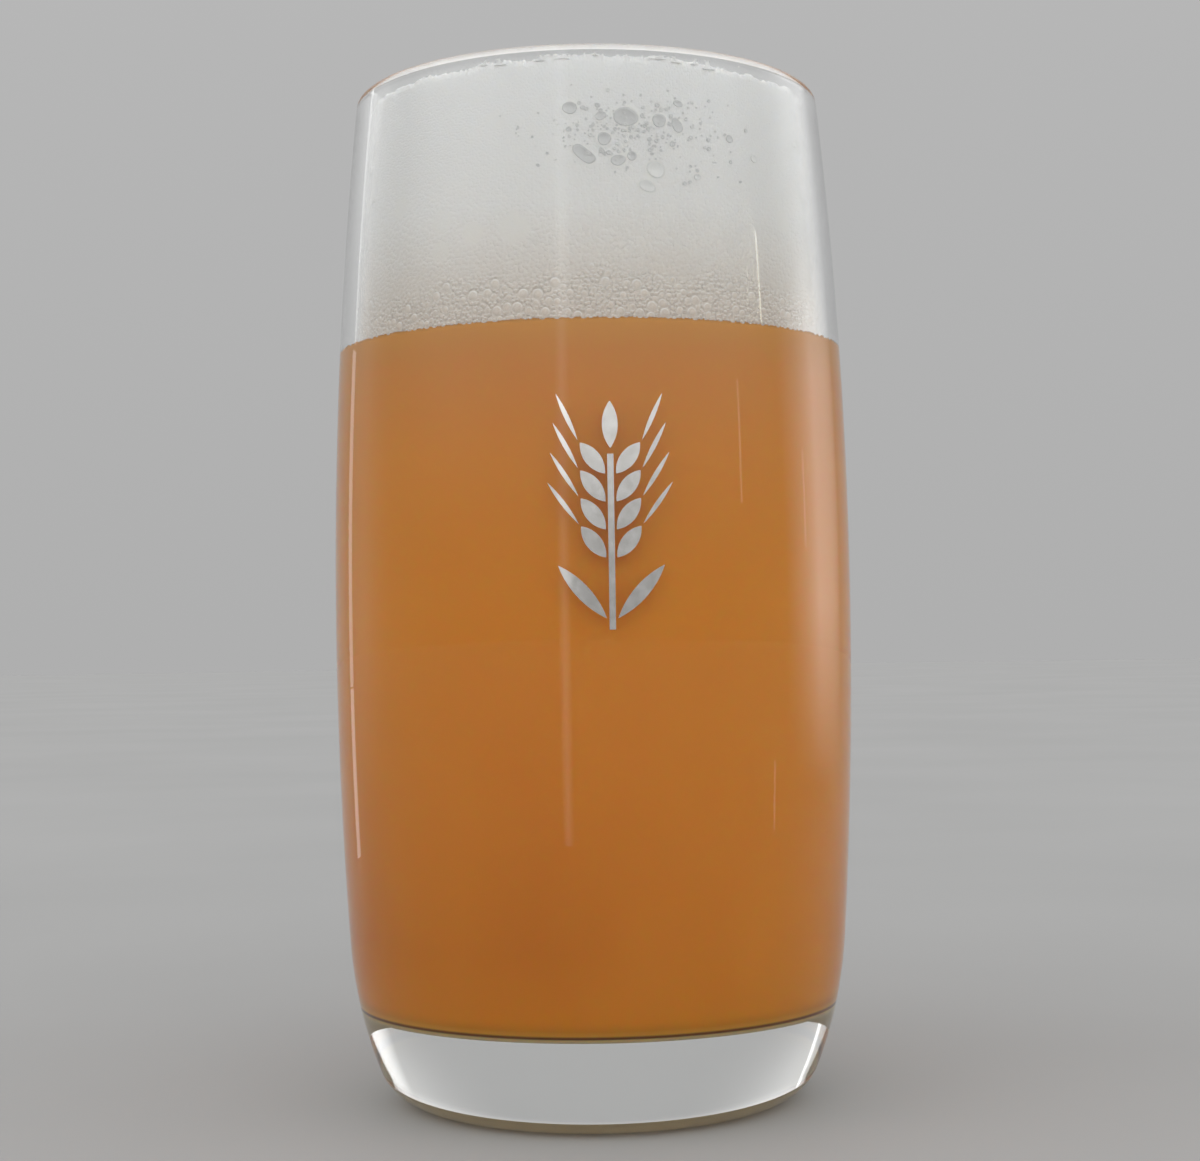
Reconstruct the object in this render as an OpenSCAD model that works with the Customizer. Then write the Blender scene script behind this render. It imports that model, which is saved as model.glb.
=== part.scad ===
// Beer tumbler: a heavy-based barrel glass filled with hazy ale, with a head of foam

/* [Tumbler] */
// Height from the table to the top of the rim
glass_h = 140; // [124:1:164]
// Outside diameter at the belly, the widest place
belly_d = 72.5; // [69:0.5:84]
// Outside diameter at the rim
rim_d = 65; // [58:0.5:67]
// Height of the belly above the table
belly_z = 68.5; // [58:0.5:78]
// Thickness of the wall
wall = 2.3; // [1.8:0.1:3]
// Height where the barrel curve turns into the tighter shoulder curve
shoulder_z = 22.5; // [20:0.5:30]
// Radius of the shoulder curve
shoulder_r = 60; // [50:1:75]
// Radius of the rounded bottom edge
foot_r = 7.5; // [5:0.5:10]
// Height of the inner floor above the table
floor_z = 13; // [9:0.5:16]
// Radius of the rounding between the inner floor and the wall
floor_r = 3.5; // [2.5:0.5:5]
// Diameter of the shallow hollow under the base
hollow_d = 40; // [30:1:42]
// Depth of the hollow under the base
hollow_h = 0.6; // [0.4:0.1:1.2]

/* [Drink] */
// Height of the beer surface above the table
beer_z = 104.5; // [92:0.5:112]
// Thickness of the layer of coarse bubbles on the beer
layer_t = 4; // [3:0.5:6]
// Drop from the top of the rim to the edge of the foam
foam_drop = 2.2; // [2:0.1:3.2]
// Rise of the foam from its edge to its middle
foam_crown = 1.2; // [0.6:0.1:1.6]
// Diameter of the largest bubble in the foam
bubble_d = 3; // [2.1:0.1:3.6]
// Width of the widest wisp of foam on the glass above the head
wisp_w = 2.6; // [1.6:0.1:2.7]
// Thickness of the wisps of foam
lacing_t = 0.5; // [0.3:0.1:0.8]

/* [Emblem] */
// Height of the printed ear of barley
emblem_h = 30; // [22:1:34]
// Height of the middle of the print above the table
emblem_z = 80; // [72:1:86]
// Angle of the print around the glass, from the front
emblem_az = 4; // [-30:1:30]
// Thickness of the print
print_t = 0.12; // [0.08:0.02:0.3]

/* [Fits] */
// Gap between the foam and the glass
foam_gap = 0.2; // [0.1:0.05:0.4]

/* [Hidden] */
$fn = 180;
fine = 1440;
small = 64;

// The barrel curve runs through the belly and the rim
barrel_sag = (belly_d - rim_d) / 2;
barrel_r = (pow(glass_h - belly_z, 2) + pow(barrel_sag, 2)) / (2 * barrel_sag);
barrel_x = belly_d / 2 - barrel_r;
shoulder_a = asin((shoulder_z - belly_z) / barrel_r);
shoulder_x = barrel_x + (barrel_r - shoulder_r) * cos(shoulder_a);
shoulder_y = belly_z + (barrel_r - shoulder_r) * sin(shoulder_a);

// The foot curve touches the table and the shoulder curve
foot_x = shoulder_x + sqrt(pow(shoulder_r - foot_r, 2) - pow(shoulder_y - foot_r, 2));
foot_join_z = shoulder_y + shoulder_r * (foot_r - shoulder_y) / (shoulder_r - foot_r);
hollow_r = (pow(hollow_d / 2, 2) + pow(hollow_h, 2)) / (2 * hollow_h);

// The floor curve touches the inner floor and the inside of the shoulder curve
cove_y = floor_z + floor_r;
cove_run = shoulder_r - wall - floor_r;
cove_x = shoulder_x + sqrt(pow(cove_run, 2) - pow(shoulder_y - cove_y, 2));
cove_join_z = shoulder_y + (shoulder_r - wall) * (cove_y - shoulder_y) / cove_run;

// The lip is a full round on the end of the wall
lip_r = wall / 2;
lip_z = glass_h - lip_r;
lip_a = asin((lip_z - belly_z) / (barrel_r - lip_r));
lip_x = barrel_x + (barrel_r - lip_r) * cos(lip_a);

// Levels of the drink
layer_z = beer_z + layer_t;
foam_z = glass_h - foam_drop;
foam_inset = wall + foam_gap;
foam_edge_r = wall_radius(foam_inset, foam_z);
crown_r = (pow(foam_edge_r, 2) + pow(foam_crown, 2)) / (2 * foam_crown);
lacing_lift = 2 * lacing_t * foam_crown / foam_edge_r;
lacing_in_r = wall_radius(wall + 2 * lacing_t, lip_z);
reach = belly_d;
overlap = 1;

// Each large bubble: angle from the front, share of the way up the head, share of the largest diameter
bubble_shares = [
  [9.3, 0.751, 1],
  [17.3, 0.741, 0.63],
  [21.7, 0.724, 0.57],
  [4.2, 0.652, 0.6],
  [-1.75, 0.605, 0.48],
  [0.75, 0.562, 0.48],
  [7.3, 0.556, 0.53],
  [10.5, 0.577, 0.37],
  [-3.7, 0.792, 0.57],
  [3.5, 0.754, 0.4],
  [22.2, 0.823, 0.37],
  [17, 0.809, 0.33],
  [35.7, 0.689, 0.33],
  [16, 0.519, 0.67],
  [13.9, 0.444, 0.57]
];

// Share of a bubble's radius that its middle lies behind the face of the foam
bubble_sink = 0.3;

// Each wisp of lacing: angle from the front, share of the widest width
wisp_shares = [
  [-25, 0.46],
  [-20.5, 0.69],
  [-10.8, 0.62],
  [-5.5, 0.85],
  [2.6, 0.35],
  [17.5, 1],
  [22.3, 0.62],
  [27, 0.46],
  [31, 0.77],
  [75, 0.54],
  [112, 0.69],
  [139, 0.46],
  [170, 0.77],
  [-158, 0.54],
  [-121, 0.73],
  [-84, 0.46]
];

// Radius of the wall at a height, moved inward by an inset
function wall_radius(inset, z) = barrel_x + sqrt(pow(barrel_r - inset, 2) - pow(z - belly_z, 2));

// Height where the barrel curve meets the shoulder curve, at an inset
function join_z(inset) = belly_z + (barrel_r - inset) * sin(shoulder_a);

// Half section of the barrel between two heights, moved inward by an inset
module barrel_half(inset, z_lo, z_hi) {
  intersection() {
    translate([barrel_x, belly_z])
      circle(barrel_r - inset, $fn = fine);
    translate([0, z_lo])
      square([reach, z_hi - z_lo]);
  }
}

// Half section of the shoulder from a height up into the barrel, moved inward by an inset
module shoulder_half(inset, z_lo) {
  intersection() {
    translate([shoulder_x, shoulder_y])
      circle(shoulder_r - inset, $fn = fine);
    translate([0, z_lo])
      square([reach, join_z(inset) + overlap - z_lo]);
  }
}

// Half section of a rounded bottom edge that reaches up into the shoulder
module edge_half(x, r, z_lo, z_hi) {
  translate([0, z_lo])
    square([x, z_hi + overlap - z_lo]);
  intersection() {
    translate([x, z_lo + r])
      circle(r);
    translate([x - overlap, z_lo])
      square([r + overlap, z_hi - z_lo]);
  }
}

// Half section of the hollow inside, from its floor up to a height
module cavity_half(z_hi) {
  barrel_half(wall, join_z(wall), z_hi);
  shoulder_half(wall, cove_join_z);
  edge_half(cove_x, floor_r, floor_z, cove_join_z);
}

// Half section of the foam, from a height up to its crowned top
module head_half() {
  intersection() {
    barrel_half(foam_inset, layer_z, foam_z + foam_crown);
    translate([0, foam_z + foam_crown - crown_r])
      circle(crown_r, $fn = fine);
  }
}

// Radius of one large bubble
function bubble_r(b) = bubble_d * b[2] / 2;

// Depth of a bubble's flat face, which clears the curve of the glass
function bubble_face(b) = pow(bubble_r(b), 2) / foam_edge_r;

// Moves its children to one large bubble, with y running from the face of the foam into it
module at_bubble(b) {
  z = layer_z + (foam_z - layer_z) * b[1];
  tilt = asin((z - belly_z) / (barrel_r - foam_inset));
  rotate([0, 0, b[0]])
    translate([0, -wall_radius(foam_inset, z), z])
      rotate([-tilt, 0, 0])
        children();
}

// Ball of one large bubble
module bubble_ball(b) {
  at_bubble(b)
    translate([0, bubble_sink * bubble_r(b), 0])
      sphere(bubble_r(b), $fn = small);
}

// Pointed leaf shape, standing on its lower point
module leaf(len, wid) {
  r = (pow(len, 2) + pow(wid, 2)) / (4 * wid);
  translate([0, len / 2])
    intersection() {
      translate([r - wid / 2, 0])
        circle(r);
      translate([wid / 2 - r, 0])
        circle(r);
    }
}

// Flat artwork of the print: an ear of barley with its stalk, grains, awns and two blades
module barley() {
  unit = emblem_h / 30;
  stalk_w = 0.8 * unit;
  stalk_len = 22 * unit;
  foot_y = -emblem_h / 2;
  grain_len = 5 * unit;
  grain_w = 2 * unit;
  grain_x = 0.7 * unit;
  grain_y = -6 * unit;
  grain_lean = 38;
  grain_step = 3.5 * unit;
  awn_len = 6.6 * unit;
  awn_w = 0.6 * unit;
  awn_x = 4.05 * unit;
  awn_y = -1.8 * unit;
  awn_lean = 36;
  awn_turn = 4;
  blade_len = 9 * unit;
  blade_w = 1.8 * unit;
  blade_y = -13.6 * unit;
  blade_lean = 42;
  tip_len = 6 * unit;
  tip_gap = 0.7 * unit;
  translate([-stalk_w / 2, foot_y])
    square([stalk_w, stalk_len]);
  translate([0, foot_y + stalk_len + tip_gap])
    leaf(tip_len, grain_w);
  for (side = [-1, 1]) {
    for (row = [0:3]) {
      translate([side * grain_x, grain_y + row * grain_step])
        rotate(-side * grain_lean)
          leaf(grain_len, grain_w);
      translate([side * awn_x, awn_y + row * grain_step])
        rotate(-side * (awn_lean - row * awn_turn))
          leaf(awn_len, awn_w);
    }
    translate([side * grain_x, blade_y])
      rotate(-side * blade_lean)
        leaf(blade_len, blade_w);
  }
}

// Clear glass
module tumbler() {
  color([0.93, 0.96, 0.95, 0.35])
    rotate_extrude() {
      difference() {
        union() {
          barrel_half(0, shoulder_z, glass_h);
          shoulder_half(0, foot_join_z);
          edge_half(foot_x, foot_r, 0, foot_join_z);
        }
        cavity_half(glass_h + wall);
        translate([lip_x, lip_z])
          rotate(lip_a)
            translate([-reach, 0])
              square([2 * reach, reach]);
        translate([0, hollow_h - hollow_r])
          circle(hollow_r, $fn = fine);
      }
      translate([lip_x, lip_z])
        rotate(lip_a)
          intersection() {
            circle(lip_r);
            translate([-wall, 0])
              square([2 * wall, wall]);
          }
    }
}

// Silver print on the front of the glass
module printed_emblem() {
  color([0.78, 0.78, 0.80])
    intersection() {
      rotate_extrude()
        difference() {
          barrel_half(-print_t, emblem_z - emblem_h, emblem_z + emblem_h);
          barrel_half(0, emblem_z - emblem_h - overlap, emblem_z + emblem_h + overlap);
        }
      rotate([0, 0, emblem_az])
        translate([0, 0, emblem_z])
          rotate([90, 0, 0])
            linear_extrude(reach)
              barley();
    }
}

// Hazy amber ale, which fills the glass from its floor to the foam line
module beer() {
  color([0.78, 0.43, 0.12])
    rotate_extrude()
      cavity_half(beer_z);
}

// Coarse wet bubbles on the beer
module bubble_layer() {
  color([0.93, 0.86, 0.74])
    rotate_extrude()
      barrel_half(foam_inset, beer_z, layer_z);
}

// Fine foam, with a seat for each large bubble
module foam_head() {
  color([0.95, 0.94, 0.92])
    difference() {
      rotate_extrude()
        head_half();
      for (b = bubble_shares)
        bubble_ball(b);
    }
}

// Large bubbles in the foam, each with a flat face against the glass
module large_bubbles() {
  color([0.72, 0.72, 0.71])
    for (b = bubble_shares)
      at_bubble(b)
        rotate([-90, 0, 0])
          rotate_extrude($fn = small)
            intersection() {
              translate([0, bubble_sink * bubble_r(b)])
                circle(bubble_r(b));
              translate([0, bubble_face(b)])
                square(2 * bubble_r(b));
            }
}

// Wisps of foam on the glass between the head and the lip
module rim_lacing() {
  color([0.95, 0.94, 0.92])
    intersection() {
      rotate_extrude()
        difference() {
          barrel_half(wall, foam_z + lacing_lift, lip_z);
          barrel_half(wall + lacing_t, foam_z, glass_h);
        }
      for (w = wisp_shares)
        rotate([0, 0, w[0]])
          translate([-wisp_w * w[1] / 2, -reach, foam_z])
            cube([wisp_w * w[1], reach - lacing_in_r, wall]);
    }
}

tumbler();
printed_emblem();
beer();
bubble_layer();
foam_head();
large_bubbles();
rim_lacing();
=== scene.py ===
import math

import bpy
import numpy as np
from mathutils import Matrix, Vector


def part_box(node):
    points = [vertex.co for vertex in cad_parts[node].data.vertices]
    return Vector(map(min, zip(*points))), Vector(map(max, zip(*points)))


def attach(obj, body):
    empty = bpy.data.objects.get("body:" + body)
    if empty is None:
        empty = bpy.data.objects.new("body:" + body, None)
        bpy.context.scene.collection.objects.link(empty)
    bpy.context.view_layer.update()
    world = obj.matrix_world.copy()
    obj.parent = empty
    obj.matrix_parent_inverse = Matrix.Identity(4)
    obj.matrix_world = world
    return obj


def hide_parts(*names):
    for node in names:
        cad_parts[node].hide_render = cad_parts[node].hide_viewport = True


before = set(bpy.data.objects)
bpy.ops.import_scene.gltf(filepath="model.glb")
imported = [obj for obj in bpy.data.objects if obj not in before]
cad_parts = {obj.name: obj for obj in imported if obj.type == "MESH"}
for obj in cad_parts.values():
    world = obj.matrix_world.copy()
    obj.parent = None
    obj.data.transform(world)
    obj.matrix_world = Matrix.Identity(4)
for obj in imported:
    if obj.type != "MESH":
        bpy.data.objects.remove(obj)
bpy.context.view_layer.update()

MM = 0.001

# Sizes of the glass and the drink, the same as in the part's source, in metres
GLASS_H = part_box("tumbler")[1][2]
BELLY_D = 72.5 * MM
RIM_D = 65.0 * MM
BELLY_Z = 68.5 * MM
WALL = 2.3 * MM
SHOULDER_Z = 22.5 * MM
SHOULDER_R = 60.0 * MM
FOOT_R = 7.5 * MM
FLOOR_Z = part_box("beer")[0][2]
FLOOR_R = 3.5 * MM
HOLLOW_D = 40.0 * MM
HOLLOW_H = 0.6 * MM
BEER_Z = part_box("beer")[1][2]
LAYER_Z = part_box("bubble_layer")[1][2]
FOAM_DROP = 2.2 * MM
FOAM_Z = GLASS_H - FOAM_DROP
FOAM_CROWN = 1.2 * MM

# Gas lies between the foam and the glass. The beer reaches a little into the glass, as if it wets it, so
# that light goes from one into the other with no air between them.
FOAM_GAP = 0.2 * MM
FOAM_INSET = WALL + FOAM_GAP
WET = 0.03 * MM

# Points round each turned piece, and on the arcs of a half section: rounded edge, shoulder and barrel
GLASS_ROUND, GLASS_ARCS = 288, (22, 30, 70)
BEER_ROUND, BEER_ARCS = 1440, (16, 16, 20)
LAYER_ROUND = 1500
FOAM_ROUND = 1280
FLOOR_ROUND = 96

# Points on the arcs of the hollow under the base and of the lip, and rings on the flat faces of the foam
HOLLOW_ARC, LIP_ARC = 26, 24
FLAT_RINGS = 3

# Distance between the rows of points on the wet layer, low on the head, higher up on it, and on its crown
LAYER_ROW, LOW_ROW, HIGH_ROW, CROWN_ROW = 0.14 * MM, 0.15 * MM, 0.24 * MM, 0.42 * MM

# A spare ring this far from a sharp edge keeps its shading crisp
SEAM = 0.002 * MM

# Curves that follow from those sizes
SAG = (BELLY_D - RIM_D) / 2
BARREL_R = ((GLASS_H - BELLY_Z) ** 2 + SAG**2) / (2 * SAG)
BARREL_X = BELLY_D / 2 - BARREL_R
SHOULDER_A = math.asin((SHOULDER_Z - BELLY_Z) / BARREL_R)
SHOULDER_X = BARREL_X + (BARREL_R - SHOULDER_R) * math.cos(SHOULDER_A)
SHOULDER_Y = BELLY_Z + (BARREL_R - SHOULDER_R) * math.sin(SHOULDER_A)


def wall_radius(inset, z):
    """Radius of the barrel at height z, moved inward by inset."""
    return BARREL_X + np.sqrt((BARREL_R - inset) ** 2 - (np.asarray(z) - BELLY_Z) ** 2)


def smooth(a, b, x):
    """Rises smoothly from 0 at a to 1 at b."""
    t = np.clip((x - a) / (b - a), 0, 1)
    return t * t * (3 - 2 * t)


def arc(cx, cy, r, a0, a1, n):
    """Points on an arc, in radius and height."""
    a = np.linspace(a0, a1, n)
    return [(cx + r * math.cos(t), cy + r * math.sin(t)) for t in a]


def edge_centre(z_lo, r, inset):
    """Centre of a rounded edge that touches the plane z_lo and the shoulder, and the angle of the touch."""
    run = SHOULDER_R - inset - r
    dy = z_lo + r - SHOULDER_Y
    return SHOULDER_X + math.sqrt(run**2 - dy**2), z_lo + r, math.atan2(dy, math.sqrt(run**2 - dy**2))


def side_profile(inset, z_lo, r, z_hi, arcs):
    """Half section from the flat bottom z_lo up the side to z_hi, with so many points on each arc."""
    n_edge, n_shoulder, n_barrel = arcs
    ex, ey, ea = edge_centre(z_lo, r, inset)
    points = [(ex, z_lo)]
    points += arc(ex, ey, r, -math.pi / 2, ea, n_edge)[1:]
    points += arc(SHOULDER_X, SHOULDER_Y, SHOULDER_R - inset, ea, SHOULDER_A, n_shoulder)[1:]
    top = math.asin((z_hi - BELLY_Z) / (BARREL_R - inset))
    points += arc(BARREL_X, BELLY_Z, BARREL_R - inset, SHOULDER_A, top, n_barrel)[1:]
    return points


def fill_flat(p, q, n):
    """So many points from p to q, both left out."""
    shares = np.linspace(0, 1, n + 2)[1:-1]
    return [(p[0] + (q[0] - p[0]) * t, p[1] + (q[1] - p[1]) * t) for t in shares]


def link(name, verts, faces, material, replaced, marks=None):
    """Makes a piece that rides on the glass. Marks are values at the vertices that its material reads."""
    mesh = bpy.data.meshes.new(name)
    mesh.from_pydata([tuple(v) for v in verts], [], faces)
    mesh.validate()
    mesh.update()
    mesh.shade_smooth()
    for key, values in (marks or {}).items():
        values = np.asarray(values, dtype=np.float32)
        kind, field = ("FLOAT", "value") if values.ndim == 1 else ("FLOAT_VECTOR", "vector")
        mesh.attributes.new(key, kind, "POINT").data.foreach_set(field, values.ravel())
    mesh.materials.append(material)
    obj = bpy.data.objects.new(name, mesh)
    bpy.context.scene.collection.objects.link(obj)
    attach(obj, "root")
    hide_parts(*replaced)
    return obj


def revolve_grid(profile, n):
    """Vertices and faces of a turned shape. A profile point on the axis becomes one vertex."""
    on_axis = 1e-7
    angle = np.linspace(0, 2 * math.pi, n, endpoint=False)
    cosines, sines = np.cos(angle), np.sin(angle)
    verts, rows, count = [], [], 0
    for r, z in profile:
        if r < on_axis:
            verts.append(np.array([[0.0, 0.0, z]]))
            rows.append(np.array([count]))
            count += 1
        else:
            verts.append(np.stack([r * cosines, r * sines, np.full(n, z)], 1))
            rows.append(np.arange(count, count + n))
            count += n
    faces = []
    for a, b in zip(rows[:-1], rows[1:]):
        a2, b2 = np.roll(a, -1), np.roll(b, -1)
        if len(a) == 1:
            faces += np.stack([np.full(n, a[0]), b2, b], 1).tolist()
        elif len(b) == 1:
            faces += np.stack([a, a2, np.full(n, b[0])], 1).tolist()
        else:
            faces += np.stack([a, a2, b2, b], 1).tolist()
    return np.concatenate(verts), faces


# Node trees


class Tree:
    """Shorthand for building a node tree. Most of its methods give the output that they make."""

    def __init__(self, tree):
        self.nodes, self.links = tree.nodes, tree.links

    def add(self, kind, **values):
        node = self.nodes.new("ShaderNode" + kind)
        for key, value in values.items():
            setattr(node, key, value)
        return node

    def feed(self, socket, value):
        """Joins an output to a socket, or sets the socket to a value."""
        if isinstance(value, bpy.types.NodeSocket):
            self.links.new(value, socket)
        else:
            socket.default_value = value

    def math(self, operation, a, b):
        node = self.add("Math", operation=operation)
        self.feed(node.inputs[0], a)
        self.feed(node.inputs[1], b)
        return node.outputs[0]

    def parts(self, vector):
        """X, Y and Z of a vector."""
        node = self.add("SeparateXYZ")
        self.feed(node.inputs[0], vector)
        return node.outputs

    def span(self, value, low, high, to_low=0.0, to_high=1.0, kind="LINEAR"):
        """Carries a value over from one range to another, where it stays inside the ends."""
        node = self.add("MapRange", interpolation_type=kind)
        ends = {"From Min": low, "From Max": high, "To Min": to_low, "To Max": to_high, "Value": value}
        for key, end in ends.items():
            self.feed(node.inputs[key], end)
        return node.outputs["Result"]

    def ramp(self, value, stops):
        """Blends between stops. Each is a place from 0 to 1, and a colour or a grey."""
        node = self.add("ValToRGB")
        elements = node.color_ramp.elements
        while len(elements) < len(stops):
            elements.new(0.5)
        for element, (place, colour) in zip(elements, stops):
            element.position = place
            element.color = (*(colour if isinstance(colour, tuple) else (colour,) * 3), 1.0)
        self.feed(node.inputs["Fac"], value)
        return node.outputs["Color"]


class Material(Tree):
    """A node material with one shader."""

    def __init__(self, name):
        self.mat = bpy.data.materials.new(name)
        self.mat.use_nodes = True
        self.mat.node_tree.nodes.clear()
        super().__init__(self.mat.node_tree)
        self.shader = self.add("BsdfPrincipled")
        self.feed(self.add("OutputMaterial").inputs["Surface"], self.shader.outputs["BSDF"])
        self.place = self.add("TexCoord").outputs["Object"]

    def put(self, **values):
        """Feeds sockets of the shader by their names."""
        for key, value in values.items():
            self.feed(self.shader.inputs[key.replace("_", " ")], value)

    def noise(self, scale, detail=2.0, stretch=(1, 1, 1)):
        """Soft noise with so many waves in a metre."""
        mapping = self.add("Mapping")
        self.feed(mapping.inputs["Scale"], stretch)
        self.feed(mapping.inputs["Vector"], self.place)
        node = self.add("TexNoise")
        self.feed(node.inputs["Scale"], scale)
        self.feed(node.inputs["Detail"], detail)
        self.feed(node.inputs["Vector"], mapping.outputs["Vector"])
        return node.outputs["Fac"]

    def grains(self, scale):
        """Distance from the middle of a grain, with so many grains in a metre."""
        node = self.add("TexVoronoi")
        self.feed(node.inputs["Scale"], scale)
        self.feed(node.inputs["Vector"], self.place)
        return node.outputs["Distance"]

    def cells(self, width, randomness=0.85):
        """Round cells on the foam, whose skin is laid out flat in the mark of that name."""
        node = self.add("TexVoronoi", voronoi_dimensions="2D")
        self.feed(node.inputs["Scale"], 1 / width)
        self.feed(node.inputs["Randomness"], randomness)
        self.feed(node.inputs["Vector"], self.mark("skin", "Vector"))
        return node.outputs

    def above(self, cells, low, high):
        """From 0 to 1, how high a place lies above the middle of its cell, between two heights."""
        off = self.add("VectorMath", operation="SUBTRACT")
        self.feed(off.inputs[0], self.mark("skin", "Vector"))
        self.feed(off.inputs[1], cells["Position"])
        return self.span(self.parts(off.outputs["Vector"])["Y"], low, high)

    def mark(self, name, out="Fac"):
        return self.add("Attribute", attribute_name=name).outputs[out]

    def mix(self, a, b, share, blend="MIX"):
        """Blends colours. A Mix node has sockets for each data type, and these are the colour ones."""
        node = self.add("Mix", data_type="RGBA", blend_type=blend)
        for k, value in ((0, share), (6, a), (7, b)):
            self.feed(node.inputs[k], value)
        return node.outputs[2]

    def bump(self, height, distance, strength=1.0):
        node = self.add("Bump")
        for key, value in (("Height", height), ("Distance", distance), ("Strength", strength)):
            self.feed(node.inputs[key], value)
        return node


# Materials


def glass_material():
    m = Material("clear_glass")
    m.put(Base_Color=(0.985, 0.995, 0.99, 1), Transmission_Weight=1.0, IOR=1.5)
    smears = m.noise(38, 3, (1, 1, 0.35))
    m.put(Roughness=m.span(smears, 0.45, 0.75, 0.0, 0.035))
    drawn = m.bump(m.noise(420, 1, (1, 1, 0.03)), 0.004 * MM, 0.5)
    # Where foam clings to the inner wall, a fine relief breaks up its reflection
    cling = m.bump(m.grains(4200), 0.005 * MM, m.mark("foamed"))
    m.feed(cling.inputs["Normal"], drawn.outputs["Normal"])
    m.put(Normal=cling.outputs["Normal"])
    return m.mat


def beer_material():
    m = Material("hazy_beer")
    z = m.parts(m.place)["Z"]
    up = m.span(z, FLOOR_Z, BEER_Z)
    deep = m.ramp(up, [
        (0.0, (0.79, 0.295, 0.006)),
        (0.12, (0.69, 0.24, 0.004)),
        (0.33, (0.785, 0.305, 0.017)),
        (0.61, (0.84, 0.36, 0.033)),
        (0.82, (0.82, 0.355, 0.030)),
        (0.98, (0.74, 0.31, 0.030)),
    ])
    pale = m.ramp(up, [
        (0.0, (0.80, 0.32, 0.012)),
        (0.61, (0.86, 0.38, 0.034)),
        (0.98, (0.76, 0.33, 0.038)),
    ])
    swirl = m.noise(26, 3, (1, 1, 0.45))
    colour = m.mix(deep, pale, m.span(swirl, 0.35, 0.7))
    # Painted light and shade where the floor curves up into the side: a golden band of painted light, as if
    # lit from the base below, with a thin dark line of painted shade above it
    low = m.span(z, FLOOR_Z, FLOOR_Z + FLOOR_R)
    painted_light_and_shade_band = m.ramp(low, [
        (0.0, (0.98, 0.80, 0.48)),
        (0.11, (0.95, 0.66, 0.26)),
        (0.16, (0.20, 0.07, 0.01)),
        (0.21, (0.20, 0.07, 0.01)),
        (0.28, (0.84, 0.40, 0.04)),
        (0.45, (0.72, 0.29, 0.012)),
        (1.0, (0.62, 0.24, 0.01)),
    ])
    m.put(Base_Color=m.mix(colour, painted_light_and_shade_band, m.span(low, 0.4, 0.7, 1.0, 0.0)))
    m.put(Roughness=m.span(swirl, 0.3, 0.7, 0.35, 0.5), Specular_IOR_Level=0.0)
    # Light scatters inside the beer, but not at its hidden top and bottom faces
    m.put(Subsurface_Weight=m.ramp(up, [(0.0, 0.0), (0.002, 1.0), (0.95, 1.0), (0.99, 0.0)]))
    m.put(Subsurface_Radius=(1.0, 0.55, 0.2), Subsurface_Scale=4 * MM)
    return m.mat


# Width of the small bubbles in the collar on the beer, and of those in the head
CELL = 0.55 * MM
FINE_CELL = CELL / 1.7

# Height of a round bubble at several distances from its middle, in widths of a cell
ROUND = [(0.0, 1.0), (0.2, 0.95), (0.35, 0.825), (0.45, 0.69), (0.55, 0.46), (0.62, 0.0)]


def foam_material(name):
    """Foam. Marks say where its small bubbles are coarse, and where larger ones are plain, warm or pale, and
    how far and how high a place lies from a larger one's middle, for a painted highlight along its upper
    edge.
    """
    m = Material(name)
    z = m.parts(m.place)["Z"]
    up = m.span(z, BEER_Z, FOAM_Z)
    coarse = m.mark("coarse")
    cells, fine = m.cells(CELL), m.cells(FINE_CELL)
    colour = m.ramp(up, [
        (0.0, (0.735, 0.64, 0.545)),
        (0.12, (0.765, 0.69, 0.605)),
        (0.26, (0.825, 0.775, 0.715)),
        (0.45, (0.88, 0.86, 0.83)),
        (1.0, (0.895, 0.89, 0.88)),
    ])
    warm = m.ramp(cells["Distance"], [(0.15, (0.95, 0.91, 0.86)), (0.36, 1.0), (0.50, 1.07)])
    colour = m.mix(colour, warm, coarse, "MULTIPLY")
    tan = m.ramp(up, [(0.0, (0.78, 0.66, 0.53)), (0.3, (0.82, 0.75, 0.65))])
    colour = m.mix(colour, tan, m.mark("tone"))
    deep = m.ramp(up, [(0.0, (0.90, 0.86, 0.76)), (1.0, (0.92, 0.905, 0.87))])
    colour = m.mix(colour, deep, m.mark("ghost"))
    # A painted highlight, as if light fell from above: each bubble has a pale crest along its upper edge,
    # first the small ones, then the larger ones
    edge = m.ramp(up, [(0.0, (0.95, 0.90, 0.845)), (0.4, (0.94, 0.93, 0.91))])
    ring = m.ramp(cells["Distance"], [(0.18, 0.0), (0.29, 1.0), (0.36, 1.0), (0.45, 0.0)])
    crest_highlight = m.math("MULTIPLY", ring, m.above(cells, -0.04 * CELL, 0.24 * CELL))
    colour = m.mix(colour, edge, m.math("MULTIPLY", crest_highlight, coarse))
    ring = m.ramp(m.mark("reach"), [(0.66, 0.0), (0.82, 1.0), (0.93, 1.0), (1.0, 0.0)])
    crest_highlight = m.math("MULTIPLY", ring, m.span(m.mark("high"), -0.3, 0.7, 0.1, 1.0))
    m.put(Base_Color=m.mix(colour, edge, crest_highlight))
    m.put(Roughness=m.span(fine["Distance"], 0.1, 0.6, 0.3, 0.55))
    m.put(Subsurface_Weight=m.span(z, LAYER_Z, LAYER_Z + 2 * MM, 0.0, 0.35))
    m.put(Subsurface_Radius=(1.0, 0.9, 0.75), Subsurface_Scale=0.5 * MM)
    # Domes of the small bubbles, except on the larger ones
    low = m.ramp(fine["Distance"], [(place, 0.12 * high) for place, high in ROUND])
    relief = m.mix(low, m.ramp(cells["Distance"], ROUND), coarse)
    domes = m.bump(relief, 0.26 * MM, m.span(m.mark("plain"), 0.0, 1.0, 0.9, 0.1))
    m.put(Normal=domes.outputs["Normal"])
    return m.mat


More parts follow.
